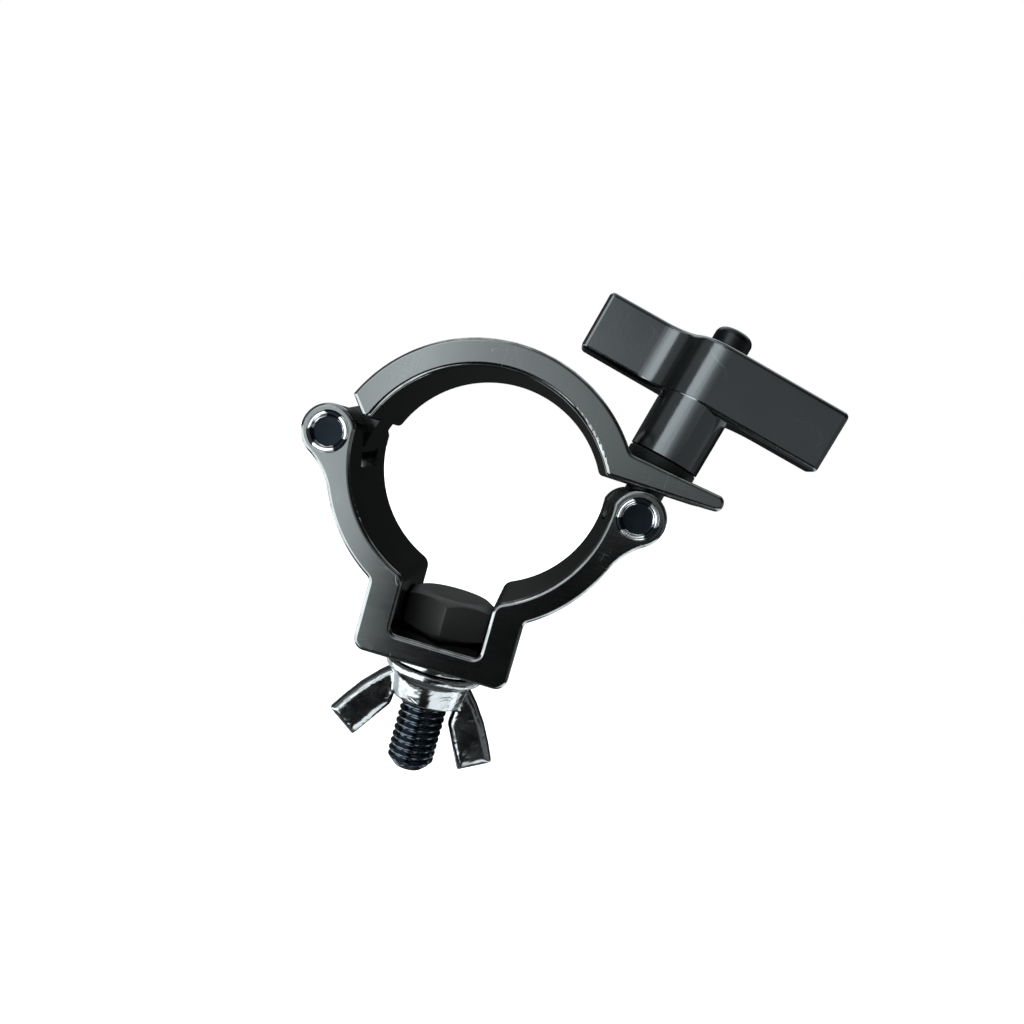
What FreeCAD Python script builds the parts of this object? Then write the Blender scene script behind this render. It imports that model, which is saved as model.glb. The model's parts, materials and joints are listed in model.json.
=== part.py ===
"""Slim half-coupler pipe clamp for a 48 to 51 mm tube.

The frame is in millimetres. Its origin is the centre of the lower half's tube seat,
the tube runs along Y, the fixture bolt points down -Z and the hinge is at -X.
The handle side (swing bolt, washer, handle) is drawn upright on the swing pin,
then leaned outwards through the Placement of each piece.
"""

import os

import FreeCAD, Part
import Sketcher

DIMENSIONS = {
    # tube seat and section shared by both halves
    "clamp_width": 30.0,
    "seat_radius": 25.5,
    "base_outer_radius": 30.4,
    "edge_round": 0.8,
    # hinge pin and swing pin
    "pin_offset": 30.7,
    "pin_height": -0.8,
    "pin_radius": 3.0,
    "pin_hole_radius": 3.02,
    "pin_running_radius": 3.06,
    "countersink": 1.15,
    "ear_radius": 5.5,
    "ear_blend": 14.0,
    # bolt block under the seat
    "block_half_width": 15.6,
    "block_bottom": -40.0,
    "block_corner": 2.5,
    "block_blend": 1.4,
    "channel_half_width": 8.95,
    "channel_floor": -35.2,
    "channel_lip": 2.6,
    "channel_corner": 1.4,
    "bolt_hole_radius": 5.25,
    # forks cut into the ears
    "hinge_slot_width": 12.8,
    "hinge_slot_radius": 8.0,
    "swing_slot_width": 9.4,
    "swing_slot_radius": 5.9,
    # upper jaw, drawn closed past the tube as it lies with no tube in it
    "jaw_drop": -5.95,
    "jaw_outer_radius": 30.9,
    "knuckle_width": 12.2,
    "knuckle_radius": 5.4,
    "flange_root_top": 11.0,
    "flange_tip_top": 7.45,
    "flange_tip_round": 1.4,
    "flange_bottom": 5.35,
    "flange_tip_bottom": 4.45,
    "flange_reach": 45.3,
    "flange_slot_width": 9.4,
    "flange_slot_end": 26.6,
    "flange_slot_corner": 3.8,
    "flange_blend": 2.0,
    "jaw_lip": 1.3,
    "jaw_toe": 1.2,
    # swing bolt, M8 on an eye
    "swing_lean": 14.0,
    "eye_radius": 5.3,
    "eye_width": 8.4,
    "stud_radius": 4.0,
    "stud_top": 42.5,
    "stud_end_round": 1.4,
    # pressure washer under the handle
    "pressure_washer_radius": 8.0,
    "pressure_washer_hole": 4.3,
    "pressure_washer_bottom": 11.7,
    "pressure_washer_thick": 1.3,
    # S-shaped handle
    "hub_radius": 7.6,
    "boss_radius": 7.5,
    "boss_bottom": 13.25,
    "handle_bore": 4.08,
    "wing_bottom": 24.9,
    "wing_height": 13.2,
    "wing_reach": 26.45,
    "wing_tip_face": 6.5,
    "wing_back_face": 1.0,
    "wing_root_blend": 7.0,
    "wing_round": 1.1,
    # fixture bolt, M10 hexagon head
    "head_half_flats": 8.5,
    "head_height": 8.2,
    "washer_face_radius": 7.5,
    "washer_face_height": 0.5,
    "bolt_radius": 5.0,
    "bolt_length": 30.0,
    "bolt_chamfer": 1.8,
    "head_chamfer": 1.3,
    # washer and wing nut on the fixture bolt
    "bolt_washer_radius": 10.0,
    "bolt_washer_top": -40.25,
    "bolt_washer_thick": 2.0,
    "nut_top": -42.5,
    "nut_base_radius": 10.4,
    "nut_base_thick": 1.6,
    "nut_neck_radius": 8.3,
    "nut_hub_radius": 7.4,
    "nut_hub_height": 7.8,
    "nut_bore_radius": 5.08,
    "nut_wing_thick": 4.6,
    "nut_wing_reach": 18.2,
    "nut_wing_end": -62.6,
    "nut_round": 1.6,
    "nut_lean": 4.5,
    "nut_lean_height": -46.0,
    "nut_turn": 6.0,
    # rivet heads
    "rivet_half_length": 14.95,
    "rivet_head_radius": 4.1,
    "rivet_rim": 0.25,
    "rivet_dish_radius": 3.1,
    "rivet_dish_depth": 0.5,
}

FIRST_ROW = 2
THROUGH = "dims.clamp_width * 4"
SMALLEST_CUT = 0.1


def make_sheet(doc):
    sheet = doc.addObject("Spreadsheet::Sheet", "dims")
    sheet.set("A1", "dimension")
    sheet.set("B1", "mm or degrees")
    for row, (alias, value) in enumerate(DIMENSIONS.items(), start=FIRST_ROW):
        sheet.set(f"A{row}", alias)
        sheet.set(f"B{row}", str(value))
        sheet.setAlias(f"B{row}", alias)
    doc.recompute()
    return sheet


def number(obj, expression):
    value = obj.evalExpression(expression)
    return float(getattr(value, "Value", value))


def make_body(doc, node):
    body = doc.addObject("PartDesign::Body", node)
    body.Label = node
    return body


def make_sketch(body, name, role="XZ_Plane", height=None):
    plane = next(item for item in body.Origin.OriginFeatures if item.Role == role)
    sketch = body.newObject("Sketcher::SketchObject", name)
    sketch.AttachmentSupport = [(plane, "")]
    sketch.MapMode = "FlatFace"
    if height is not None:
        sketch.setExpression("AttachmentOffset.Base.z", height)
    return sketch


def constrain(sketch, kind, geometry, expression):
    index = sketch.addConstraint(Sketcher.Constraint(kind, *geometry, number(sketch, expression)))
    sketch.setExpression(f"Constraints[{index}]", expression)


def pin_point(sketch, geometry, point, x, y):
    constrain(sketch, "DistanceX", (-1, 1, geometry, point), x)
    constrain(sketch, "DistanceY", (-1, 1, geometry, point), y)


def add_circle(sketch, x, y, radius):
    centre = FreeCAD.Vector(number(sketch, x), number(sketch, y), 0)
    circle = Part.Circle(centre, FreeCAD.Vector(0, 0, 1), number(sketch, radius))
    index = sketch.addGeometry(circle, False)
    pin_point(sketch, index, 3, x, y)
    constrain(sketch, "Radius", (index,), radius)


def add_polygon(sketch, corners):
    points = [FreeCAD.Vector(number(sketch, x), number(sketch, y), 0) for x, y in corners]
    ends = points[1:] + points[:1]
    sides = [sketch.addGeometry(Part.LineSegment(a, b), False) for a, b in zip(points, ends)]
    for side, following in zip(sides, sides[1:] + sides[:1]):
        sketch.addConstraint(Sketcher.Constraint("Coincident", side, 2, following, 1))
    for side, (x, y) in zip(sides, corners):
        pin_point(sketch, side, 1, x, y)


def extrude(body, kind, sketch, length, midplane=True, reverse=False):
    cuts = kind == "Pocket"
    volume = body.Shape.Volume if cuts else 0.0
    feature = body.newObject(f"PartDesign::{kind}", f"{sketch.Name}_{kind.lower()}")
    feature.Profile = sketch
    feature.setExpression("Length", length)
    feature.Midplane = midplane
    feature.Reversed = reverse
    feature.Refine = True
    sketch.Visibility = False
    body.Document.recompute()
    if cuts and body.Shape.Volume > volume - SMALLEST_CUT:
        raise RuntimeError(f"{feature.Name} cuts nothing")
    return feature


def revolve(body, sketch):
    feature = body.newObject("PartDesign::Revolution", f"{sketch.Name}_revolution")
    feature.Profile = sketch
    feature.ReferenceAxis = (sketch, ["V_Axis"])
    feature.Angle = 360.0
    sketch.Visibility = False
    body.Document.recompute()
    return feature


def edges_where(body, test):
    return [f"Edge{i}" for i, edge in enumerate(body.Tip.Shape.Edges, start=1) if test(edge)]


def dress(body, kind, name, test, size, field="Radius"):
    base = body.Tip
    names = edges_where(body, test)
    feature = body.newObject(f"PartDesign::{kind}", name)
    feature.Base = (base, names)
    feature.setExpression(field, size)
    body.Document.recompute()
    return feature


def parallel_to(edge, axis):
    if not isinstance(edge.Curve, Part.Line):
        return False
    return abs(edge.Curve.Direction.dot(axis)) > 0.999


def through_point(edge, x, z, reach=0.6):
    """True for an edge along Y that passes the point (x, z)."""
    along_y = parallel_to(edge, FreeCAD.Vector(0, 1, 0))
    start = edge.Vertexes[0].Point
    return along_y and abs(start.x - x) < reach and abs(start.z - z) < reach


def on_side_face(edge, half_width):
    return all(abs(abs(vertex.Y) - half_width) < 0.001 for vertex in edge.Vertexes)


def place(body, x="0", z="0", axis=(0, 1, 0), angle="0"):
    body.Placement = FreeCAD.Placement(
        FreeCAD.Vector(0, 0, 0), FreeCAD.Rotation(FreeCAD.Vector(*axis), 0)
    )
    body.setExpression("Placement.Base.x", x)
    body.setExpression("Placement.Base.z", z)
    body.setExpression(
        "Placement.Rotation", f"rotation(vector({axis[0]}; {axis[1]}; {axis[2]}); {angle})"
    )


def make_base(doc):
    """Lower half: half shell, two pairs of ears and the block with the bolt channel."""
    body = make_body(doc, "base")
    sketch = make_sketch(body, "base_disc")
    add_circle(sketch, "0", "0", "dims.base_outer_radius")
    extrude(body, "Pad", sketch, "dims.clamp_width")

    sketch = make_sketch(body, "base_open_top")
    side = "dims.base_outer_radius + 5"
    low = "dims.pin_height"
    add_polygon(sketch, [(f"-({side})", low), (side, low), (side, side), (f"-({side})", side)])
    extrude(body, "Pocket", sketch, THROUGH)

    sketch = make_sketch(body, "base_ears")
    for x in ("-dims.pin_offset", "dims.pin_offset"):
        add_circle(sketch, x, "dims.pin_height", "dims.ear_radius")
    extrude(body, "Pad", sketch, "dims.clamp_width")
    dress(body, "Fillet", "base_ear_blend",
          lambda edge: parallel_to(edge, FreeCAD.Vector(0, 1, 0))
          and -9 < edge.Vertexes[0].Z < -4 and 28 < abs(edge.Vertexes[0].X) < 33,
          "dims.ear_blend")

    sketch = make_sketch(body, "base_block")
    half = "dims.block_half_width"
    bottom = "dims.block_bottom"
    top = "-dims.seat_radius + 2"
    add_polygon(sketch, [(f"-{half}", bottom), (half, bottom), (half, top), (f"-{half}", top)])
    extrude(body, "Pad", sketch, "dims.clamp_width")
    block_x = DIMENSIONS["block_half_width"]
    dress(body, "Fillet", "base_block_corners",
          lambda edge: through_point(edge, block_x, DIMENSIONS["block_bottom"])
          or through_point(edge, -block_x, DIMENSIONS["block_bottom"]),
          "dims.block_corner")
    dress(body, "Fillet", "base_block_blend",
          lambda edge: through_point(edge, block_x, -26.3) or through_point(edge, -block_x, -26.3),
          "dims.block_blend")

    sketch = make_sketch(body, "base_seat")
    add_circle(sketch, "0", "0", "dims.seat_radius")
    extrude(body, "Pocket", sketch, THROUGH)
    sketch = make_sketch(body, "base_channel")
    half = "dims.channel_half_width"
    floor = "dims.channel_floor"
    add_polygon(sketch, [(f"-{half}", floor), (half, floor), (half, "-20"), (f"-{half}", "-20")])
    extrude(body, "Pocket", sketch, THROUGH)
    lip_x = DIMENSIONS["channel_half_width"]
    dress(body, "Fillet", "base_channel_lips",
          lambda edge: through_point(edge, lip_x, -23.9) or through_point(edge, -lip_x, -23.9),
          "dims.channel_lip")
    floor_z = DIMENSIONS["channel_floor"]
    dress(body, "Fillet", "base_channel_corners",
          lambda edge: through_point(edge, lip_x, floor_z) or through_point(edge, -lip_x, floor_z),
          "dims.channel_corner")
    half_width = DIMENSIONS["clamp_width"] / 2
    dress(body, "Fillet", "base_edges",
          lambda edge: on_side_face(edge, half_width) and not parallel_to(edge, FreeCAD.Vector(0, 1, 0)),
          "dims.edge_round")

    for side, sign in (("hinge", "-"), ("swing", "")):
        sketch = make_sketch(body, f"base_{side}_slot")
        add_circle(sketch, f"{sign}dims.pin_offset", "dims.pin_height", f"dims.{side}_slot_radius")
        extrude(body, "Pocket", sketch, f"dims.{side}_slot_width")
        sketch = make_sketch(body, f"base_{side}_hole")
        add_circle(sketch, f"{sign}dims.pin_offset", "dims.pin_height", "dims.pin_hole_radius")
        extrude(body, "Pocket", sketch, THROUGH)
    hole_radius = DIMENSIONS["pin_hole_radius"]
    dress(body, "Chamfer", "base_countersinks",
          lambda edge: on_side_face(edge, half_width) and isinstance(edge.Curve, Part.Circle)
          and abs(edge.Curve.Radius - hole_radius) < 0.001,
          "dims.countersink", "Size")
    sketch = make_sketch(body, "base_bolt_hole", "XY_Plane")
    add_circle(sketch, "0", "0", "dims.bolt_hole_radius")
    extrude(body, "Pocket", sketch, THROUGH)
    place(body)
    return body


def make_jaw(doc):
    """Upper half: arc, centre knuckle on the hinge pin, and slotted clamping flange."""
    body = make_body(doc, "jaw")
    sketch = make_sketch(body, "jaw_disc")
    add_circle(sketch, "0", "dims.jaw_drop", "dims.jaw_outer_radius")
    extrude(body, "Pad", sketch, "dims.clamp_width")

    sketch = make_sketch(body, "jaw_open_bottom")
    bottom = "dims.flange_bottom"
    add_polygon(sketch, [("-32.5", "13.4"), ("-20", "-2.6"), ("15", bottom), ("50", bottom),
                         ("50", "-50"), ("-50", "-50"), ("-50", "13.4")])
    extrude(body, "Pocket", sketch, THROUGH)

    sketch = make_sketch(body, "jaw_flange")
    reach = "dims.flange_reach"
    add_polygon(sketch, [("24", "dims.flange_root_top"), (reach, "dims.flange_tip_top"),
                         (reach, "dims.flange_tip_bottom"), ("24", "dims.flange_bottom")])
    extrude(body, "Pad", sketch, "dims.clamp_width")
    tip_x = DIMENSIONS["flange_reach"]
    dress(body, "Fillet", "jaw_flange_tip",
          lambda edge: parallel_to(edge, FreeCAD.Vector(0, 1, 0))
          and abs(edge.Vertexes[0].X - tip_x) < 0.001,
          "dims.flange_tip_round")
    dress(body, "Fillet", "jaw_flange_blend",
          lambda edge: through_point(edge, 25.7, 10.7, 1.2), "dims.flange_blend")

    sketch = make_sketch(body, "jaw_seat")
    add_circle(sketch, "0", "dims.jaw_drop", "dims.seat_radius")
    extrude(body, "Pocket", sketch, THROUGH)
    dress(body, "Fillet", "jaw_seat_lip",
          lambda edge: through_point(edge, 22.7, DIMENSIONS["flange_bottom"]), "dims.jaw_lip")
    dress(body, "Fillet", "jaw_toe_round",
          lambda edge: through_point(edge, -24.0, 2.6, 0.3), "dims.jaw_toe")
    half_width = DIMENSIONS["clamp_width"] / 2
    dress(body, "Fillet", "jaw_edges",
          lambda edge: on_side_face(edge, half_width) and not parallel_to(edge, FreeCAD.Vector(0, 1, 0)),
          "dims.edge_round")

    sketch = make_sketch(body, "jaw_knuckle")
    add_circle(sketch, "-dims.pin_offset", "dims.pin_height", "dims.knuckle_radius")
    extrude(body, "Pad", sketch, "dims.knuckle_width")
    sketch = make_sketch(body, "jaw_neck")
    add_polygon(sketch, [("-dims.pin_offset", "dims.pin_height + dims.knuckle_radius - 0.05"),
                         ("-27.2", "6.2"), ("-23.0", "4.5"), ("-24.6", "-2.2"),
                         ("-dims.pin_offset", "dims.pin_height")])
    extrude(body, "Pad", sketch, "dims.knuckle_width")
    sketch = make_sketch(body, "jaw_seat_relief")
    add_circle(sketch, "0", "dims.jaw_drop", "dims.seat_radius")
    extrude(body, "Pocket", sketch, THROUGH)
    sketch = make_sketch(body, "jaw_pin_hole")
    add_circle(sketch, "-dims.pin_offset", "dims.pin_height", "dims.pin_running_radius")
    extrude(body, "Pocket", sketch, THROUGH)

    sketch = make_sketch(body, "jaw_slot", "XY_Plane")
    low = "-dims.flange_slot_width / 2"
    high = "dims.flange_slot_width / 2"
    add_polygon(sketch, [("dims.flange_slot_end", low), ("60", low), ("60", high),
                         ("dims.flange_slot_end", high)])
    extrude(body, "Pocket", sketch, THROUGH)
    slot_end = DIMENSIONS["flange_slot_end"]
    dress(body, "Fillet", "jaw_slot_corners",
          lambda edge: parallel_to(edge, FreeCAD.Vector(0, 0, 1))
          and abs(edge.Vertexes[0].X - slot_end) < 0.001,
          "dims.flange_slot_corner")
    place(body)
    return body


def make_rivet(doc, node, x):
    """Solid rivet: plain shank, countersunk heads with a raised rim around a dished end."""
    body = make_body(doc, node)
    sketch = make_sketch(body, f"{node}_profile", "XY_Plane")
    end = "dims.rivet_half_length"
    head = "dims.rivet_head_radius"
    dish = "dims.rivet_dish_radius"
    shank = "dims.pin_radius"
    taper = f"{end} - ({head} - {shank})"
    upper = [(shank, taper), (head, end), (f"{head} - 0.35", f"{end} + dims.rivet_rim"),
             (f"{dish} + 0.3", f"{end} + dims.rivet_rim - 0.03"),
             (dish, f"{end} - dims.rivet_dish_depth"), ("0", f"{end} - dims.rivet_dish_depth")]
    lower = [(x_side, f"-({y_side})") for x_side, y_side in reversed(upper)]
    add_polygon(sketch, upper + lower)
    revolve(body, sketch)
    place(body, x, "dims.pin_height")
    return body


def make_swing_bolt(doc):
    """M8 stud on an eye that turns about the swing pin."""
    body = make_body(doc, "swing_bolt")
    sketch = make_sketch(body, "swing_eye")
    add_circle(sketch, "0", "0", "dims.eye_radius")
    extrude(body, "Pad", sketch, "dims.eye_width")
    sketch = make_sketch(body, "swing_stud", "XY_Plane")
    add_circle(sketch, "0", "0", "dims.stud_radius")
    extrude(body, "Pad", sketch, "dims.stud_top", midplane=False)
    stud_top = DIMENSIONS["stud_top"]
    dress(body, "Fillet", "swing_stud_end",
          lambda edge: all(abs(vertex.Z - stud_top) < 0.001 for vertex in edge.Vertexes),
          "dims.stud_end_round")
    sketch = make_sketch(body, "swing_pin_hole")
    add_circle(sketch, "0", "0", "dims.pin_running_radius")
    extrude(body, "Pocket", sketch, THROUGH)
    place(body, "dims.pin_offset", "dims.pin_height", angle="dims.swing_lean")
    return body


def make_ring(doc, node, outer, inner, bottom, thick):
    body = make_body(doc, node)
    sketch = make_sketch(body, f"{node}_ring", "XY_Plane", bottom)
    add_circle(sketch, "0", "0", outer)
    add_circle(sketch, "0", "0", inner)
    extrude(body, "Pad", sketch, thick, midplane=False)
    return body


def wing_corners(sign):
    """One wing in plan, its outer face tangent to the round hub."""
    reach = "dims.wing_reach"
    tip = "dims.wing_tip_face"
    hub = "dims.hub_radius"
    angle = f"atan2(-{tip}; {reach}) - acos({hub} / sqrt({reach}^2 + {tip}^2))"
    return [(f"{sign}{hub} * cos({angle})", f"{sign}{hub} * sin({angle})"),
            (f"{sign}{reach}", f"{sign}(-{tip})"),
            (f"{sign}{reach}", f"{sign}(-dims.wing_back_face)"),
            ("0", f"{sign}(-dims.wing_back_face)")]


def make_handle(doc):
    """Cast S handle: round boss with two wings that leave it on opposite sides."""
    body = make_body(doc, "handle")
    sketch = make_sketch(body, "handle_hub", "XY_Plane", "dims.wing_bottom")
    add_circle(sketch, "0", "0", "dims.hub_radius")
    extrude(body, "Pad", sketch, "dims.wing_height", midplane=False)
    for name, sign in (("handle_near_wing", "1 * "), ("handle_far_wing", "-1 * ")):
        sketch = make_sketch(body, name, "XY_Plane", "dims.wing_bottom")
        add_polygon(sketch, wing_corners(sign))
        extrude(body, "Pad", sketch, "dims.wing_height", midplane=False)
    up = FreeCAD.Vector(0, 0, 1)
    dress(body, "Fillet", "handle_root_blend",
          lambda edge: parallel_to(edge, up) and 6.5 < abs(edge.Vertexes[0].X) < 8,
          "dims.wing_root_blend")
    dress(body, "Fillet", "handle_edges",
          lambda edge: not parallel_to(edge, up) or abs(edge.Vertexes[0].X) > 20,
          "dims.wing_round")
    sketch = make_sketch(body, "handle_boss", "XY_Plane", "dims.boss_bottom")
    add_circle(sketch, "0", "0", "dims.boss_radius")
    extrude(body, "Pad", sketch, "dims.wing_bottom + dims.wing_height - 3 - dims.boss_bottom",
            midplane=False)
    sketch = make_sketch(body, "handle_bore", "XY_Plane")
    add_circle(sketch, "0", "0", "dims.handle_bore")
    extrude(body, "Pocket", sketch, THROUGH)
    place(body, "dims.pin_offset", "dims.pin_height", angle="dims.swing_lean")
    return body


def make_pressure_washer(doc):
    body = make_ring(doc, "pressure_washer", "dims.pressure_washer_radius",
                     "dims.pressure_washer_hole", "dims.pressure_washer_bottom",
                     "dims.pressure_washer_thick")
    place(body, "dims.pin_offset", "dims.pin_height", angle="dims.swing_lean")
    return body


def make_fixture_bolt(doc):
    """M10 hexagon bolt with a washer face, head held between the walls of the channel."""
    body = make_body(doc, "fixture_bolt")
    sketch = make_sketch(body, "bolt_washer_face", "XY_Plane", "dims.channel_floor")
    add_circle(sketch, "0", "0", "dims.washer_face_radius")
    extrude(body, "Pad", sketch, "dims.washer_face_height", midplane=False)
    sketch = make_sketch(body, "bolt_head", "XY_Plane",
                         "dims.channel_floor + dims.washer_face_height")
    flats = "dims.head_half_flats"
    corner = f"{flats} / cos(30)"
    add_polygon(sketch, [("0", corner), (flats, f"{corner} / 2"), (flats, f"-{corner} / 2"),
                         ("0", f"-{corner}"), (f"-{flats}", f"-{corner} / 2"),
                         (f"-{flats}", f"{corner} / 2")])
    extrude(body, "Pad", sketch, "dims.head_height - dims.washer_face_height", midplane=False)
    top = DIMENSIONS["channel_floor"] + DIMENSIONS["head_height"]
    dress(body, "Chamfer", "bolt_head_chamfer",
          lambda edge: all(abs(vertex.Z - top) < 0.001 for vertex in edge.Vertexes),
          "dims.head_chamfer", "Size")
    sketch = make_sketch(body, "bolt_shank", "XY_Plane", "dims.channel_floor")
    add_circle(sketch, "0", "0", "dims.bolt_radius")
    extrude(body, "Pad", sketch, "dims.bolt_length", midplane=False, reverse=True)
    end = DIMENSIONS["channel_floor"] - DIMENSIONS["bolt_length"]
    dress(body, "Chamfer", "bolt_end_chamfer",
          lambda edge: all(abs(vertex.Z - end) < 0.001 for vertex in edge.Vertexes),
          "dims.bolt_chamfer", "Size")
    place(body)
    return body


def make_bolt_washer(doc):
    body = make_ring(doc, "bolt_washer", "dims.bolt_washer_radius", "dims.bolt_hole_radius",
                     "dims.bolt_washer_top - dims.bolt_washer_thick", "dims.bolt_washer_thick")
    place(body)
    return body


def leaned(x, z):
    """A corner of the wings turned a little in their own plane, so one wing flares more."""
    x, z = f"({x})", f"({z} - dims.nut_lean_height)"
    return (f"{x} * cos(dims.nut_lean) + {z} * sin(dims.nut_lean)",
            f"dims.nut_lean_height - {x} * sin(dims.nut_lean) + {z} * cos(dims.nut_lean)")


def make_wing_nut(doc):
    """M10 wing nut: flanged hub, with wings that flare down past it."""
    body = make_body(doc, "wing_nut")
    top = "dims.nut_top"
    tip = "dims.nut_wing_end"
    reach = "dims.nut_wing_reach"
    end = f"{top} - dims.nut_hub_height"
    wing = [("6.0", f"{top} - 1.0"), ("8.6", f"{top} - 2.9"), ("10.9", f"{top} - 5.2"),
            ("13.9", f"{top} - 8.9"), (f"{reach} - 1.9", f"{tip} + 7.4"),
            (reach, f"{tip} + 4.0"), ("11.7", tip), ("6.4", f"{tip} + 9.0"),
            ("6.4", f"{end} + 0.5")]
    sketch = make_sketch(body, "nut_wings")
    outline = wing + [(f"-({x})", z) for x, z in reversed(wing)]
    add_polygon(sketch, [leaned(x, z) for x, z in outline])
    extrude(body, "Pad", sketch, "dims.nut_wing_thick")
    half_thick = DIMENSIONS["nut_wing_thick"] / 2
    dress(body, "Fillet", "nut_wing_edges",
          lambda edge: on_side_face(edge, half_thick)
          and not parallel_to(edge, FreeCAD.Vector(0, 1, 0)),
          "dims.nut_round")
    sketch = make_sketch(body, "nut_hub")
    shoulder = f"{top} - dims.nut_base_thick"
    add_polygon(sketch, [("0", top), ("dims.nut_base_radius", top),
                         ("dims.nut_base_radius", shoulder),
                         ("dims.nut_neck_radius", f"{shoulder} - 1.2"),
                         ("dims.nut_hub_radius", end), ("0", end)])
    revolve(body, sketch)
    sketch = make_sketch(body, "nut_bore", "XY_Plane")
    add_circle(sketch, "0", "0", "dims.nut_bore_radius")
    extrude(body, "Pocket", sketch, THROUGH)
    place(body, axis=(0, 0, 1), angle="dims.nut_turn")
    return body


def check(body):
    state = body.State
    if "Invalid" in state or "Error" in state:
        raise RuntimeError(f"{body.Label} is in state {state}")
    for feature in body.Group:
        if "Invalid" in feature.State or "Error" in feature.State:
            raise RuntimeError(f"{feature.Name} is in state {feature.State}")
    if not body.Shape.isValid() or len(body.Shape.Solids) != 1:
        raise RuntimeError(f"{body.Label} isn't one valid solid")


def main():
    doc = FreeCAD.newDocument("pipe_clamp")
    make_sheet(doc)
    bodies = [
        make_base(doc),
        make_jaw(doc),
        make_rivet(doc, "hinge_rivet", "-dims.pin_offset"),
        make_rivet(doc, "swing_rivet", "dims.pin_offset"),
        make_swing_bolt(doc),
        make_pressure_washer(doc),
        make_handle(doc),
        make_fixture_bolt(doc),
        make_bolt_washer(doc),
        make_wing_nut(doc),
    ]
    doc.recompute()
    os.makedirs("parts", exist_ok=True)
    for body in bodies:
        check(body)
        body.Shape.exportStep(f"parts/{body.Label}.step")
        box = body.Shape.BoundBox
        print(f"{body.Label}: {body.Shape.Volume:.0f} mm3, z {box.ZMin:.2f} to {box.ZMax:.2f}")


main()
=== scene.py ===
"""Pipe clamp with a swing bolt, an S-shaped handle and a fixture bolt.

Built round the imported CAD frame. Places are in metres unless a comment says mm."""

import json
import math

import bmesh
import bpy
from mathutils import Matrix, Vector


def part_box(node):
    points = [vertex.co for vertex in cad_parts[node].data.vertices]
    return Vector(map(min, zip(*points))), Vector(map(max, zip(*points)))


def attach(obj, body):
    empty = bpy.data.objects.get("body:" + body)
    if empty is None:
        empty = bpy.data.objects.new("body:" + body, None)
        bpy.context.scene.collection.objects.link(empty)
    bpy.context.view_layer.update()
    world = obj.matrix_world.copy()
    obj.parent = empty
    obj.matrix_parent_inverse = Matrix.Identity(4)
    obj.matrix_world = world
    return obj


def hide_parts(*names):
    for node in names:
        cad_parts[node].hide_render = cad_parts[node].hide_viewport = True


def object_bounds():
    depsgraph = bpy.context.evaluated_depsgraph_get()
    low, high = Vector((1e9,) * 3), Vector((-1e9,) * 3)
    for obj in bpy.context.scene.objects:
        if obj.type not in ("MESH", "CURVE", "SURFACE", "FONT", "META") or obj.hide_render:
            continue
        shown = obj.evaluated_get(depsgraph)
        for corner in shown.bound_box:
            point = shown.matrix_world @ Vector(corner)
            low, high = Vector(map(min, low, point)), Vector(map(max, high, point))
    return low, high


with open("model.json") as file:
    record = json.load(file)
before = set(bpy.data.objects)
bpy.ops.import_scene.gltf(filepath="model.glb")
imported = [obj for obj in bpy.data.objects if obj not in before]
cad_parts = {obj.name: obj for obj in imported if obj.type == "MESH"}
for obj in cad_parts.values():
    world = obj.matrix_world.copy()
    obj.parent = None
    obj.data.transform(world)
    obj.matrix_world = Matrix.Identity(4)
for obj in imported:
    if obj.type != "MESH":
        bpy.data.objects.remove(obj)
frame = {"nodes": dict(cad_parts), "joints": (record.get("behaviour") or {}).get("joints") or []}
CAD_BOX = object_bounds()

MM = 0.001
TAU = 2 * math.pi

NODES = frame["nodes"]
JOINTS = {joint["name"]: joint for joint in frame["joints"]}


# ---------------------------------------------------------------- camera

CAMERA_AT = Vector((14.1, -162.39, 4.37)) * MM
CAMERA_RIGHT = Vector((0.96050964, 0.06192157, 0.27126915))
CAMERA_AHEAD = Vector((-0.0444914, 0.99655816, -0.06994539))
FOCAL_LENGTH = 27.424
SENSOR_WIDTH = 36.0


def make_camera():
    ahead = CAMERA_AHEAD.normalized()
    right = (CAMERA_RIGHT - CAMERA_RIGHT.dot(ahead) * ahead).normalized()
    up = right.cross(ahead)
    data = bpy.data.cameras.new("camera")
    data.lens = FOCAL_LENGTH
    data.sensor_width = SENSOR_WIDTH
    data.clip_start = 0.01
    data.clip_end = 50.0
    camera = bpy.data.objects.new("camera", data)
    bpy.context.collection.objects.link(camera)
    turn = Matrix((right, up, -ahead)).transposed().to_4x4()
    camera.matrix_world = Matrix.Translation(CAMERA_AT) @ turn
    bpy.context.scene.camera = camera


# ---------------------------------------------------------------- studio

# Light panels: centre azimuth and elevation, width and height, edge softness, all in degrees,
# then radiance. Azimuth 0 is the camera's side (-Y) and 90 is +X.
PANELS = (
    (-29.8, 12, 36.4, 68, 2.0, 2.25),
    (-34, 25, 28, 28, 4, 1.1),
    (-70, 24, 36, 40, 6, 0.38),
    (-130, 24, 84, 40, 6, 0.08),
    (-45, 62, 100, 22, 6, 1.4),
    (-62, -22, 88, 34, 3, 4.6),
    (-134, -30, 56, 44, 6, 1.2),
    (66, -42, 100, 26, 5, 3.0),
    (124, -32, 48, 34, 5, 1.6),
    (62, -3, 68, 24, 5, 0.32),
    (102, 26, 40, 72, 8, 0.2),
    (180, 53, 120, 36, 6, 1.7),
    (0, 88, 360, 66, 8, 0.5),
    (0, -90, 360, 62, 8, 0.24),
)
AMBIENT = 0.02         # radiance between the panels
TENT_COLOUR = (0.93, 0.99, 1.0)
WHITE = (1.0, 1.0, 1.0)

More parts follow.
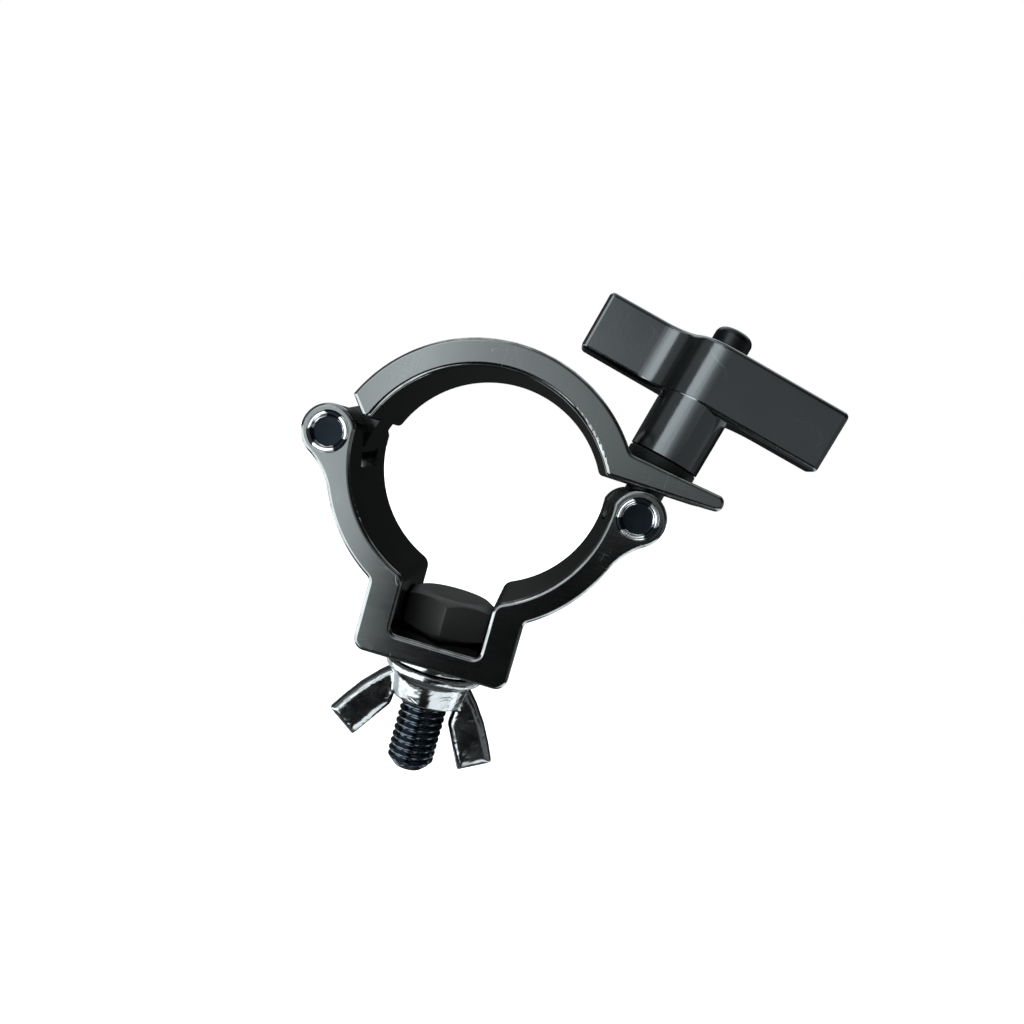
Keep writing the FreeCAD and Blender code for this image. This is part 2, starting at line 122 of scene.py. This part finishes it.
# The front panel, in the same terms. It is bright up to one azimuth and dim from another on,
# and a little dimmer towards its top.
FRONT = (8, 17.5, 42, 38, 1.2)
FRONT_BRIGHT_TO, FRONT_DIM_FROM = -11.0, 13.0
FRONT_FALL = 1.7       # power that shapes the fade
FRONT_DIM, FRONT_GAIN = 0.45, 1.55
FRONT_HEIGHTS = (3, 16)
FRONT_HEIGHT_GAINS = (1.05, 0.75)

SUN_STRENGTH = 3.9
SUN_ANGLE = 50         # degrees; this wide, it casts no hard shadow
FLOOR_RADIUS = 5.0
FLOOR_DROP = 90 * MM   # below the part's lowest point


def panel(g, azimuth, elevation, centre, height, wide, high, soft):
    """1 inside a soft-edged rectangle of directions, 0 outside."""
    sideways = g.math("WRAP", g.math("SUBTRACT", azimuth, centre), 180.0, -180.0)
    across = g.math("ABSOLUTE", sideways)
    up = g.math("ABSOLUTE", g.math("SUBTRACT", elevation, height))
    return g.math("MULTIPLY", g.ramp(across, wide / 2 - soft, wide / 2 + soft, 1.0, 0.0),
                  g.ramp(up, high / 2 - soft, high / 2 + soft, 1.0, 0.0))


def make_light_tent():
    """World light: dim all round, with soft panels. One in front fades from left to right."""
    world = bpy.data.worlds.new("light_tent")
    bpy.context.scene.world = world
    world.use_nodes = True
    g = Graph(tree=world.node_tree)
    towards = g.split(g.tree.nodes.new("ShaderNodeTexCoord").outputs["Generated"])
    azimuth = g.math("MULTIPLY", math.degrees(1),
                     g.math("ARCTAN2", towards[0], g.math("MULTIPLY", towards[1], -1.0)))
    elevation = g.math("MULTIPLY", math.degrees(1), g.math("ARCSINE", towards[2]))
    fade = g.ramp(azimuth, FRONT_BRIGHT_TO, FRONT_DIM_FROM, 1.0, 0.0, smooth=False)
    front = g.math("MULTIPLY_ADD", g.math("POWER", fade, FRONT_FALL), FRONT_GAIN, FRONT_DIM)
    front = g.math("MULTIPLY", front, g.ramp(elevation, *FRONT_HEIGHTS, *FRONT_HEIGHT_GAINS))
    total = g.math("MULTIPLY", front, panel(g, azimuth, elevation, *FRONT))
    total = g.math("ADD", total, AMBIENT)
    for *area, radiance in PANELS:
        total = g.math("MULTIPLY_ADD", panel(g, azimuth, elevation, *area), radiance, total)
    background = world.node_tree.nodes["Background"]
    seen = g.tree.nodes.new("ShaderNodeLightPath").outputs["Is Camera Ray"]
    g.put(background.inputs["Color"], g.mix(seen, TENT_COLOUR, WHITE))
    g.put(background.inputs["Strength"], g.math("MAXIMUM", total, seen))


def make_studio():
    """The light tent, one sun through its roof, and a floor that only the camera sees."""
    make_light_tent()

    sun_data = bpy.data.lights.new("overhead", "SUN")
    sun_data.energy = SUN_STRENGTH
    sun_data.angle = math.radians(SUN_ANGLE)
    sun = bpy.data.objects.new("overhead", sun_data)
    bpy.context.collection.objects.link(sun)
    sun.visible_glossy = False

    floor_mesh = bpy.data.meshes.new("floor")
    bm = bmesh.new()
    bmesh.ops.create_circle(bm, cap_ends=True, segments=LATHE_SEGMENTS, radius=FLOOR_RADIUS)
    bm.to_mesh(floor_mesh)
    bm.free()
    floor = bpy.data.objects.new("floor", floor_mesh)
    bpy.context.collection.objects.link(floor)
    floor.location.z = CAD_BOX[0].z - FLOOR_DROP
    floor.visible_glossy = False
    floor.visible_diffuse = False
    floor.visible_shadow = False
    floor_mesh.materials.append(floor_material())


# ---------------------------------------------------------------- materials


class Graph:
    """Short calls for building one node material, or adding to another node tree."""

    def __init__(self, name="", tree=None):
        if tree is not None:
            self.tree = tree
            return
        self.material = bpy.data.materials.new(name)
        self.material.use_nodes = True
        self.tree = self.material.node_tree
        self.tree.nodes.clear()
        surface = self.tree.nodes.new("ShaderNodeOutputMaterial").inputs["Surface"]
        self.shader = self.tree.nodes.new("ShaderNodeBsdfPrincipled")
        self.tree.links.new(self.shader.outputs["BSDF"], surface)
        coordinates = self.tree.nodes.new("ShaderNodeTexCoord")
        self.place = coordinates.outputs["Object"]
        self.normal = coordinates.outputs["Normal"]

    def put(self, socket, value):
        if isinstance(value, bpy.types.NodeSocket):
            self.tree.links.new(value, socket)
        elif value is not None:
            socket.default_value = value

    def math(self, operation, a, b=None, c=None, clamp=False):
        node = self.tree.nodes.new("ShaderNodeMath")
        node.operation = operation
        node.use_clamp = clamp
        for socket, value in zip(node.inputs, (a, b, c)):
            self.put(socket, value)
        return node.outputs[0]

    def scaled(self, factors):
        node = self.tree.nodes.new("ShaderNodeMapping")
        self.put(node.inputs["Vector"], self.place)
        node.inputs["Scale"].default_value = factors
        return node.outputs[0]

    def noise(self, size, detail=3.0, roughness=0.5, distortion=0.0, source=None):
        """Noise with blobs about size metres across, longer where the source is scaled down."""
        node = self.tree.nodes.new("ShaderNodeTexNoise")
        self.put(node.inputs["Vector"], source or self.place)
        node.inputs["Scale"].default_value = 1 / size
        node.inputs["Detail"].default_value = detail
        node.inputs["Roughness"].default_value = roughness
        node.inputs["Distortion"].default_value = distortion
        return node.outputs["Fac"]

    def ramp(self, value, low, high, out_low=0.0, out_high=1.0, smooth=True):
        node = self.tree.nodes.new("ShaderNodeMapRange")
        node.interpolation_type = "SMOOTHSTEP" if smooth else "LINEAR"
        self.put(node.inputs["Value"], value)
        node.inputs["From Min"].default_value = low
        node.inputs["From Max"].default_value = high
        node.inputs["To Min"].default_value = out_low
        node.inputs["To Max"].default_value = out_high
        return node.outputs["Result"]

    def mix(self, amount, a, b):
        node = self.tree.nodes.new("ShaderNodeMix")
        node.data_type = "RGBA"
        self.put(node.inputs["Factor"], amount)
        for socket, value in zip((node.inputs[6], node.inputs[7]), (a, b)):
            self.put(socket, (*value, 1) if isinstance(value, tuple) else value)
        return node.outputs[2]

    def split(self, source):
        node = self.tree.nodes.new("ShaderNodeSeparateXYZ")
        self.put(node.inputs[0], source)
        return node.outputs

    def bump(self, *layers):
        """A normal from layers, each of them a height from 0 to 1 and a depth in metres."""
        normal = None
        for height, depth in layers:
            node = self.tree.nodes.new("ShaderNodeBump")
            node.inputs["Strength"].default_value = 1.0
            node.inputs["Distance"].default_value = depth
            self.put(node.inputs["Height"], height)
            self.put(node.inputs["Normal"], normal)
            normal = node.outputs["Normal"]
        return normal

    def finish(self, colour, roughness, metallic, normal, **constants):
        self.put(self.shader.inputs["Base Color"], colour)
        self.put(self.shader.inputs["Roughness"], roughness)
        self.put(self.shader.inputs["Metallic"], metallic)
        self.put(self.shader.inputs["Normal"], normal)
        for name, value in constants.items():
            socket = name.replace("_", " ").title().replace("Ior", "IOR")
            self.shader.inputs[socket].default_value = value
        return self.material


def floor_material():
    g = Graph("pale_floor")
    speckle = g.noise(0.004, 4.0)
    colour = g.mix(speckle, (0.90, 0.90, 0.90), (0.94, 0.94, 0.94))
    return g.finish(colour, 0.9, 0.0, g.bump((g.noise(0.002, 3.0), 0.00002)))


def scratches(g, size, stretch, width):
    """Fine straight scratches: 1 on a scratch, 0 elsewhere."""
    lines = g.noise(1.0, 1.0, source=g.scaled(tuple(s / size for s in stretch)))
    return g.ramp(g.math("ABSOLUTE", g.math("SUBTRACT", lines, 0.5)), 0.0, width, 1.0, 0.0)


# Painted shade: the jaw's knuckle between the left forks, which the forks shade, is painted near
# black: |y| and x where that ends, in metres.
SHADED_KNUCKLE_SIDE = (0.00620, 0.00630)
SHADED_KNUCKLE_END = (-0.0220, -0.0212)


def clamp_material():
    """Black anodised extrusion: sawn and polished ends, die lines along Y, rounds lightened as
    wear and as painted highlight, and painted shade on the knuckle between the left forks.
    """
    g = Graph("anodised_extrusion")
    facing = g.math("ABSOLUTE", g.split(g.normal)[1])
    end_face = g.ramp(facing, 0.90, 0.98)
    flat_end = g.ramp(facing, 0.985, 0.999)
    off_wall = g.ramp(facing, 0.12, 0.30)
    edge = g.math("MULTIPLY", off_wall, g.math("SUBTRACT", 1.0, g.ramp(facing, 0.88, 0.97)))

    cloud = g.noise(0.016, 4.0, 0.55)
    die_lines = g.noise(0.00045, 2.0, 0.6, source=g.scaled((1, 0.012, 1)))
    wide_lines = g.noise(0.0022, 2.0, 0.5, source=g.scaled((1, 0.01, 1)))
    grain = g.noise(0.00022, 2.0, 0.6)
    saw = g.noise(0.00035, 2.0, 0.6, source=g.scaled((0.06, 1, 1)))
    scuff = scratches(g, 0.020, (1.0, 0.6, 6.0), 0.004)
    scuff_fine = scratches(g, 0.008, (5.0, 0.7, 1.0), 0.006)
    where = g.ramp(g.noise(0.012, 3.0), 0.52, 0.66)
    marks = g.math("MULTIPLY", g.math("MAXIMUM", scuff, scuff_fine), where)
    wear_and_highlight = g.math("MULTIPLY", edge, g.ramp(g.noise(0.0035, 4.0, 0.6), 0.36, 0.60, 0.25, 1.0))

    tone = g.mix(cloud, (0.112, 0.118, 0.119), (0.148, 0.156, 0.157))
    walls = g.mix(wide_lines, (0.075, 0.076, 0.074), (0.100, 0.101, 0.098))
    colour = g.mix(end_face, walls, tone)
    colour = g.mix(g.math("MULTIPLY", marks, 0.30), colour, (0.30, 0.31, 0.31))
    # Partly real wear, partly painted highlight: the rounded edges are lightened to pale grey, in
    # place of the bright lines that light draws along them.
    colour = g.mix(g.math("MULTIPLY", wear_and_highlight, 0.32), colour, (0.52, 0.54, 0.54))

    x, y, _ = g.split(g.place)
    # Painted shade: the knuckle's faces between the left forks are darkened to near black, where
    # the forks shade them.
    shade_between_forks = g.ramp(g.math("ABSOLUTE", y), *SHADED_KNUCKLE_SIDE, 1.0, 0.0)
    knuckle_shade = g.math("MULTIPLY", shade_between_forks, g.ramp(x, *SHADED_KNUCKLE_END, 1.0, 0.0))
    knuckle_shade = g.math("MULTIPLY", knuckle_shade, g.ramp(facing, 0.3, 0.6))
    colour = g.mix(g.math("MULTIPLY", knuckle_shade, 0.85), colour, (0.004, 0.004, 0.004))

    rough = g.ramp(cloud, 0.3, 0.7, 0.11, 0.15)
    rough = g.math("ADD", rough, g.math("MULTIPLY", g.math("SUBTRACT", saw, 0.5), 0.06))
    rough = g.math("SUBTRACT", rough, g.math("MULTIPLY", wear_and_highlight, 0.06), clamp=True)
    normal = g.bump(
        (g.math("MULTIPLY", die_lines, g.math("SUBTRACT", 1.0, off_wall)), 0.000004),
        (g.math("MULTIPLY", saw, flat_end), 0.0000035),
        (grain, 0.0000008),
        (g.math("SUBTRACT", 1.0, marks), 0.000004),
    )
    return g.finish(colour, rough, 1.0, normal)


def handle_material():
    """Cast handle with a smooth dark coat: faint orange peel, small pits, and patches of fine
    scuffs.
    """
    g = Graph("coated_casting")
    peel = g.noise(0.0009, 3.0, 0.5)
    cloud = g.noise(0.012, 3.0, 0.5)
    pits = g.ramp(g.noise(0.0011, 2.0, 0.4), 0.70, 0.78)
    scuff = scratches(g, 0.018, (1.0, 5.0, 1.6), 0.004)
    where = g.ramp(g.noise(0.010, 3.0), 0.52, 0.66)
    marks = g.math("MULTIPLY", scuff, where)
    colour = g.mix(cloud, (0.083, 0.089, 0.093), (0.104, 0.110, 0.114))
    colour = g.mix(g.math("MULTIPLY", marks, 0.35), colour, (0.32, 0.33, 0.33))
    rough = g.ramp(cloud, 0.3, 0.7, 0.15, 0.21)
    rough = g.math("ADD", rough, g.math("MULTIPLY", pits, 0.15))
    normal = g.bump((peel, 0.000010), (g.math("SUBTRACT", 1.0, pits), 0.00001), (marks, 0.000003))
    return g.finish(colour, rough, 1.0, normal)


# Radii in metres between which a rivet's near-black centre gives way to its bright rim.
RIM_STARTS = (0.00300, 0.00325)


def rivet_material():
    """Rivet steel: near-black dished centre on both rivets, and a bright steel rim in three lobes,
    partly burnished and partly painted highlight.
    """
    g = Graph("rivet_dark_centre_bright_rim")
    x, _, z = g.split(g.place)
    pin_x, _, pin_z = JOINTS["swing_hinge"]["pos_m"]
    across = g.math("SUBTRACT", g.math("ABSOLUTE", x), pin_x)
    up = g.math("SUBTRACT", z, pin_z)
    radius = g.math("SQRT", g.math("ADD", g.math("MULTIPLY", across, across),
                                   g.math("MULTIPLY", up, up)))
    ragged = g.math("ADD", radius, g.math("MULTIPLY", g.noise(0.0012, 3.0), 0.0004))
    rim = g.ramp(ragged, *RIM_STARTS)
    # Painted highlight, partly real burnishing: the rim's bright steel is laid in three lobes
    # round the pin, as glints of the studio's lights.
    around = g.math("ARCTAN2", up, g.math("MULTIPLY", across, g.math("SIGN", x)))
    highlight_lobes = g.math("SINE", g.math("MULTIPLY", around, 3.0))
    highlight_patch = g.math("MULTIPLY_ADD", g.noise(0.0022, 2.0), 1.6, g.math("MULTIPLY", highlight_lobes, 0.5))
    rim = g.math("MULTIPLY", rim, g.ramp(highlight_patch, 0.60, 0.86))
    cloud = g.noise(0.0025, 3.0)
    turned = g.noise(0.0003, 2.0, 0.5)
    dark_centre = g.mix(cloud, (0.006, 0.008, 0.011), (0.012, 0.015, 0.019))
    steel = g.mix(cloud, (0.62, 0.64, 0.66), (0.82, 0.83, 0.84))
    colour = g.mix(rim, dark_centre, steel)
    rough = g.mix(rim, (0.42, 0.42, 0.42), (0.16, 0.16, 0.16))
    rough = g.math("ADD", g.split(rough)[0], g.math("MULTIPLY", cloud, 0.08))
    return g.finish(colour, rough, 1.0, g.bump((turned, 0.000004), (cloud, 0.00002)))


def washer_material():
    """Dull near-black of the washer under the handle: partly its own colour, partly painted shade,
    as it fills the dark wedge under the boss.
    """
    g = Graph("dull_black_washer")
    cloud = g.noise(0.003, 3.0)
    grain = g.noise(0.0003, 2.0, 0.5)
    colour = g.mix(cloud, (0.004, 0.005, 0.005), (0.009, 0.010, 0.010))
    rough = g.ramp(cloud, 0.3, 0.7, 0.45, 0.62)
    return g.finish(colour, rough, 0.0, g.bump((grain, 0.00001)), specular_ior_level=0.12)


# Heights in metres between which the fixture bolt's burnished thread turns into its dull head.
HEAD_STARTS = (-0.0360, -0.0350)


def bolt_material():
    """Black oxide: dull on the head, which is also painted darker as shade of the block's pocket;
    burnished by the nut on the thread.
    """
    g = Graph("black_oxide_bolt")
    cloud = g.noise(0.005, 4.0, 0.55)
    grain = g.noise(0.0003, 2.0, 0.5)
    head = g.ramp(g.split(g.place)[2], *HEAD_STARTS)
    wear = g.ramp(g.noise(0.0012, 3.0, 0.6), 0.52, 0.74)
    wear = g.math("MULTIPLY", wear, g.math("SUBTRACT", 1.0, head))
    colour = g.mix(cloud, (0.040, 0.048, 0.060), (0.062, 0.074, 0.088))
    # Partly real dull oxide, partly painted shade: the head, down in the block's pocket, is
    # coloured darker than the thread.
    colour = g.mix(head, colour, g.mix(cloud, (0.015, 0.0155, 0.016), (0.024, 0.024, 0.0235)))
    colour = g.mix(g.math("MULTIPLY", wear, 0.22), colour, (0.30, 0.32, 0.34))
    rough = g.ramp(cloud, 0.3, 0.7, 0.14, 0.24)
    rough = g.math("MULTIPLY_ADD", head, 0.26, rough)
    metallic = g.math("SUBTRACT", 1.0, head)
    return g.finish(colour, rough, metallic, g.bump((grain, 0.000003), (cloud, 0.000010)),
                    specular_ior_level=0.2)


def stud_material():
    """Dull black of the swing bolt: oil-blackened, hardly any sheen."""
    g = Graph("oil_blackened_stud")
    cloud = g.noise(0.003, 4.0, 0.55)
    grain = g.noise(0.0003, 2.0, 0.5)
    colour = g.mix(cloud, (0.014, 0.015, 0.016), (0.028, 0.030, 0.032))
    rough = g.ramp(cloud, 0.3, 0.7, 0.26, 0.38)
    return g.finish(colour, rough, 1.0, g.bump((grain, 0.000004), (cloud, 0.000010)))


def zinc_material():
    """Zinc plate on a forging: bright, with dull grey drifts and long drawn streaks."""
    g = Graph("bright_zinc")
    cloud = g.noise(0.004, 4.0, 0.6)
    grain = g.noise(0.0005, 3.0, 0.6)
    streak = g.noise(0.0030, 2.0, 0.45, 1.4, source=g.scaled((0.5, 1, 0.8)))
    dull = g.ramp(g.noise(0.006, 4.0, 0.65), 0.46, 0.68)
    colour = g.mix(cloud, (0.20, 0.21, 0.215), (0.33, 0.34, 0.35))
    colour = g.mix(g.math("MULTIPLY", dull, 0.55), colour, (0.105, 0.10, 0.10))
    rough = g.math("ADD", g.ramp(cloud, 0.3, 0.7, 0.10, 0.18), g.math("MULTIPLY", dull, 0.08))
    return g.finish(colour, rough, 1.0,
                    g.bump((grain, 0.000002), (streak, 0.00018), (g.noise(0.0025, 2.0), 0.00005)))


# ---------------------------------------------------------------- mesh helpers

LATHE_SEGMENTS = 96
ROUND_STEPS = 4        # faces in one rounded corner
THREAD_SEGMENTS = 72
THREAD_STEPS = 12      # rings in one pitch
THREAD_DEPTH = 0.61    # of the pitch
THREAD_ROOT = 0.12     # flat at the thread's root, of half a pitch
THREAD_FLANK = 0.70    # flank, of half a pitch; the rest is the flat crest


def rounded(corners):
    """Profile points from (r, z, radius) corners, in mm, each corner rounded by its radius."""
    points = []
    for i, (r, z, radius) in enumerate(corners):
        here = Vector((r, z))
        if radius == 0 or i in (0, len(corners) - 1):
            points.append((r, z))
            continue
        before = (Vector(corners[i - 1][:2]) - here).normalized()
        after = (Vector(corners[i + 1][:2]) - here).normalized()
        half = before.angle(after) / 2
        reach = radius / math.tan(half)
        centre = here + (before + after).normalized() * radius / math.sin(half)
        start, end = here + before * reach - centre, here + after * reach - centre
        for k in range(ROUND_STEPS + 1):
            way = start.lerp(end, k / ROUND_STEPS).normalized() * radius
            points.append(tuple(centre + way))
    return points


def add_rings(bm, rings, closed=False):
    """Joins rings of points, each a list of places, or one place for a pole."""
    made = [[bm.verts.new(p) for p in ring] for ring in rings]
    following = made[1:] + made[:1] if closed else made[1:]
    for low, high in zip(made, following):
        count = max(len(low), len(high))
        for j in range(count):
            k = (j + 1) % count
            if len(low) == 1:
                bm.faces.new((low[0], high[k], high[j]))
            elif len(high) == 1:
                bm.faces.new((low[j], low[k], high[0]))
            else:
                bm.faces.new((low[j], low[k], high[k], high[j]))


def place_at(r, angle, z):
    """A place in metres from a radius and a height in mm."""
    return (r * math.cos(angle) * MM, r * math.sin(angle) * MM, z * MM)


def ring_at(r, z, segments):
    """A round ring, or one place where the radius is 0."""
    return [place_at(r, TAU * j / segments, z) for j in range(segments if r else 1)]


def lathe(bm, profile, segments=LATHE_SEGMENTS, closed=False):
    add_rings(bm, [ring_at(r, z, segments) for r, z in profile], closed)


def threaded_rod(bm, crest, pitch, low, high, thread, end_size, bottom_end, round_end=False):
    """Rod from z low to high in mm, with a right-hand thread between the two heights of thread.

    end_size is the size of the dome or chamfer on its free end."""
    depth = THREAD_DEPTH * pitch
    blunt = 0.04  # square of the small flat on a dome's tip
    count = math.ceil((high - low) / pitch * THREAD_STEPS)
    rings = [[(0, 0, low * MM)]]
    for i in range(count + 1):
        z = low + (high - low) * i / count
        free = z - low if bottom_end else high - z
        limit = crest
        if free < end_size:
            slope = end_size - free
            limit = crest - slope
            if round_end:
                limit = crest - end_size + math.sqrt(max(end_size**2 - slope**2, blunt))
        fade = min(1, max(0, (z - thread[0]) / pitch), max(0, (thread[1] - z) / pitch))
        ring = []
        for j in range(THREAD_SEGMENTS):
            phase = (z / pitch - j / THREAD_SEGMENTS) % 1
            rise = min(1, max(0, (abs(2 * phase - 1) - THREAD_ROOT) / THREAD_FLANK))
            radius = min(limit, crest - depth * (1 - rise) * fade)
            ring.append(place_at(radius, TAU * j / THREAD_SEGMENTS, z))
        rings.append(ring)
    rings.append([(0, 0, high * MM)])
    add_rings(bm, rings)


def add_piece(name, bm, slot, body, replaced, turn=None, crease=30, material=None):
    """Makes an object from bm, in place in the CAD's frame, riding on a body."""
    if turn is not None:
        bmesh.ops.transform(bm, matrix=turn, verts=bm.verts)
    bmesh.ops.recalc_face_normals(bm, faces=bm.faces)
    mesh = bpy.data.meshes.new(name)
    bm.to_mesh(mesh)
    bm.free()
    mesh.shade_smooth()
    mesh.set_sharp_from_angle(angle=math.radians(crease))
    mesh.materials.append(material or MATERIALS[slot])
    piece = bpy.data.objects.new(name, mesh)
    bpy.context.collection.objects.link(piece)
    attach(piece, body)
    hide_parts(*replaced)


# ---------------------------------------------------------------- pieces


def make_rivet(node, name):
    """Formed rivet: black dished centre, rolled bright rim, shank between the heads."""
    low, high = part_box(node)
    centre = (low + high) / 2
    half = (high.y - low.y) / 2 / MM
    dish, shank = half - 0.62, 3.0
    upper = rounded([(0, dish, 0), (2.95, dish, 0.55), (3.3, half, 0.3), (3.85, half, 0.3),
                     (4.1, half - 0.45, 0.2), (shank, half - 1.5, 0), (shank, 0, 0)])[:-1]
    lower = [(r, -z) for r, z in reversed(upper)]
    bm = bmesh.new()
    lathe(bm, upper + lower)
    turn = Matrix.Translation(centre) @ Matrix.Rotation(math.radians(-90), 4, "X")
    add_piece(name, bm, "rivet_steel", "lower_half", (node,), turn)


HEAD_FLAT = 8.5        # from the axis to a flat of the hexagon head, mm
HEAD_CORNER = 1.148    # rounded corner, times HEAD_FLAT
HEAD_FLOOR = -35.2     # underside of the head, mm
HEAD_SEGMENTS = 180


def hexagon_ring(inner, z, slope):
    """Ring round the head, in mm: z high where the radius is inner, sloping from there."""
    sixth = math.radians(60)
    ring = []
    for j in range(HEAD_SEGMENTS):
        angle = TAU * j / HEAD_SEGMENTS
        part = (angle + sixth) % sixth - sixth / 2
        radius = min(HEAD_FLAT / math.cos(sixth / 2 - abs(part)), HEAD_FLAT * HEAD_CORNER)
        ring.append(place_at(radius, angle, z + (radius - inner) * slope))
    return ring


def make_fixture_bolt():
    """M10 hexagon bolt: chamfered head with a washer face, and a real thread."""
    low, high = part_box("fixture_bolt")
    top, tip = high.z / MM, low.z / MM
    crown = HEAD_FLAT * 0.89
    washer_face = HEAD_FLOOR + 0.5
    over = [(0, top - 0.12), (crown * 0.55, top - 0.12), (crown * 0.82, top - 0.04),
            (crown - 0.15, top), (crown, top - 0.03)]
    under = [(7.55, washer_face), (7.5, HEAD_FLOOR), (4.9, HEAD_FLOOR), (0, HEAD_FLOOR)]

    bm = bmesh.new()
    add_rings(bm, [ring_at(r, z, HEAD_SEGMENTS) for r, z in over]
              + [hexagon_ring(crown, top - 0.03, -math.tan(math.radians(30))),
                 hexagon_ring(HEAD_FLAT, HEAD_FLOOR + 0.55, 0.35)]
              + [ring_at(r, z, HEAD_SEGMENTS) for r, z in under])
    threaded_rod(bm, crest=4.97, pitch=1.5, low=tip, high=washer_face,
                 thread=(tip - 3, HEAD_FLOOR - 0.2), end_size=1.8, bottom_end=True)
    add_piece("fixture_bolt_threaded", bm, "bolt_black", "lower_half", ("fixture_bolt",),
              crease=24)


def swing_frame():
    """Matrix to the CAD's frame from the swing bolt's own: origin on its pin, Z along the stud."""
    axis = Vector(JOINTS["handle_turn"]["axis"])
    lean = math.atan2(axis.x, axis.z)
    return (Matrix.Translation(Vector(JOINTS["swing_hinge"]["pos_m"]))
            @ Matrix.Rotation(lean, 4, "Y"))


def make_swing_bolt():
    """M8 eye bolt: rounded eye on the swing pin, threaded stud with a domed end."""
    inner, outer, half = 3.06, 5.3, 4.2
    eye = rounded([(3.2, -half, 0), (inner, -4.0, 0), (inner, 4.0, 0), (3.3, half, 0.1),
                   (outer, half, 0.7), (outer, -half, 0.7), (3.3, -half, 0.1), (3.2, -half, 0)])
    bm = bmesh.new()
    lathe(bm, eye[1:-1], 80, closed=True)
    bmesh.ops.rotate(bm, cent=(0, 0, 0), matrix=Matrix.Rotation(math.radians(90), 3, "X"),
                     verts=bm.verts)
    top = 42.5
    threaded_rod(bm, crest=3.97, pitch=1.25, low=4.4, high=top, thread=(12.0, top - 3.6),
                 end_size=1.7, bottom_end=False, round_end=True)
    add_piece("swing_bolt_threaded", bm, "bolt_black", "swing_bolt", ("swing_bolt",),
              swing_frame(), crease=40, material=stud_material())


def washer_mesh(inner, outer, low, high, split, rounds):
    """Washer ring in mm. Its profile starts on the bore, at the height split. The roundings are
    those of the bore's edges, of the top's and of the bottom's outer edge."""
    bore_round, top_round, bottom_round = rounds
    profile = rounded([(inner, split, 0), (inner, high, bore_round), (outer, high, top_round),
                       (outer, low, bottom_round), (inner, low, bore_round), (inner, split, 0)])
    bm = bmesh.new()
    lathe(bm, profile[:-1], closed=True)
    return bm


def make_bolt_washer():
    """Plain washer under the block, its edges rounded by the press."""
    low, high = -42.25, -40.25
    bm = washer_mesh(5.25, 10.0, low, high, (low + high) / 2, (0.35, 0.35, 0.35))
    add_piece("bolt_washer_rounded", bm, "bright_steel", "bolt_washer", ("bolt_washer",),
              crease=50)


def make_wing_nut():
    """Forged wing nut: the CAD nut's form with every edge worn round, as a forging has."""
    grid, passes = 0.28 * MM, 14
    copy = bpy.data.objects.new("wing_nut_forged", NODES["wing_nut"].data.copy())
    bpy.context.collection.objects.link(copy)
    remesh = copy.modifiers.new("remesh", "REMESH")
    remesh.mode = "VOXEL"
    remesh.voxel_size = grid
    remesh.use_smooth_shade = True
    soften = copy.modifiers.new("soften", "SMOOTH")
    soften.factor = 0.5
    soften.iterations = passes
    solved = copy.evaluated_get(bpy.context.evaluated_depsgraph_get())
    bm = bmesh.new()
    bm.from_mesh(solved.to_mesh())
    solved.to_mesh_clear()
    bpy.data.objects.remove(copy)
    add_piece("wing_nut_forged", bm, "bright_steel", "wing_nut", ("wing_nut",), crease=180)


def make_pressure_washer():
    """Black washer whose underside is tapered to lie along the flange."""
    underside, taper = 11.5 * MM, 0.06
    # Partly a real washer, partly painted shade: its near-black underside is tapered to fill the
    # dark wedge between the boss and the flange.
    bm = washer_mesh(4.3, 7.45, 10.9, 13.0, 12.0, (0.2, 0.4, 0.3))
    for vert in bm.verts:
        if vert.co.z < underside:
            vert.co.z += vert.co.x * taper
    add_piece("pressure_washer_tapered", bm, "washer_black", "pressure_washer",
              ("pressure_washer",), swing_frame(), crease=50)


# ---------------------------------------------------------------- scene

make_camera()
# Each slot's material. The CAD nodes are given theirs below, and add_piece looks them up.
MATERIALS = {
    "clamp_black": clamp_material(),
    "handle_black": handle_material(),
    "rivet_steel": rivet_material(),
    "bolt_black": bolt_material(),
    "washer_black": washer_material(),
    "bright_steel": zinc_material(),
}
for node in NODES.values():
    for slot in node.material_slots:
        slot.material = MATERIALS[slot.material.name.split(".")[0]]
make_rivet("hinge_rivet", "hinge_rivet_formed")
make_rivet("swing_rivet", "swing_rivet_formed")
make_fixture_bolt()
make_swing_bolt()
make_bolt_washer()
make_pressure_washer()
make_wing_nut()
make_studio()
bpy.context.scene.view_settings.view_transform = "Standard"
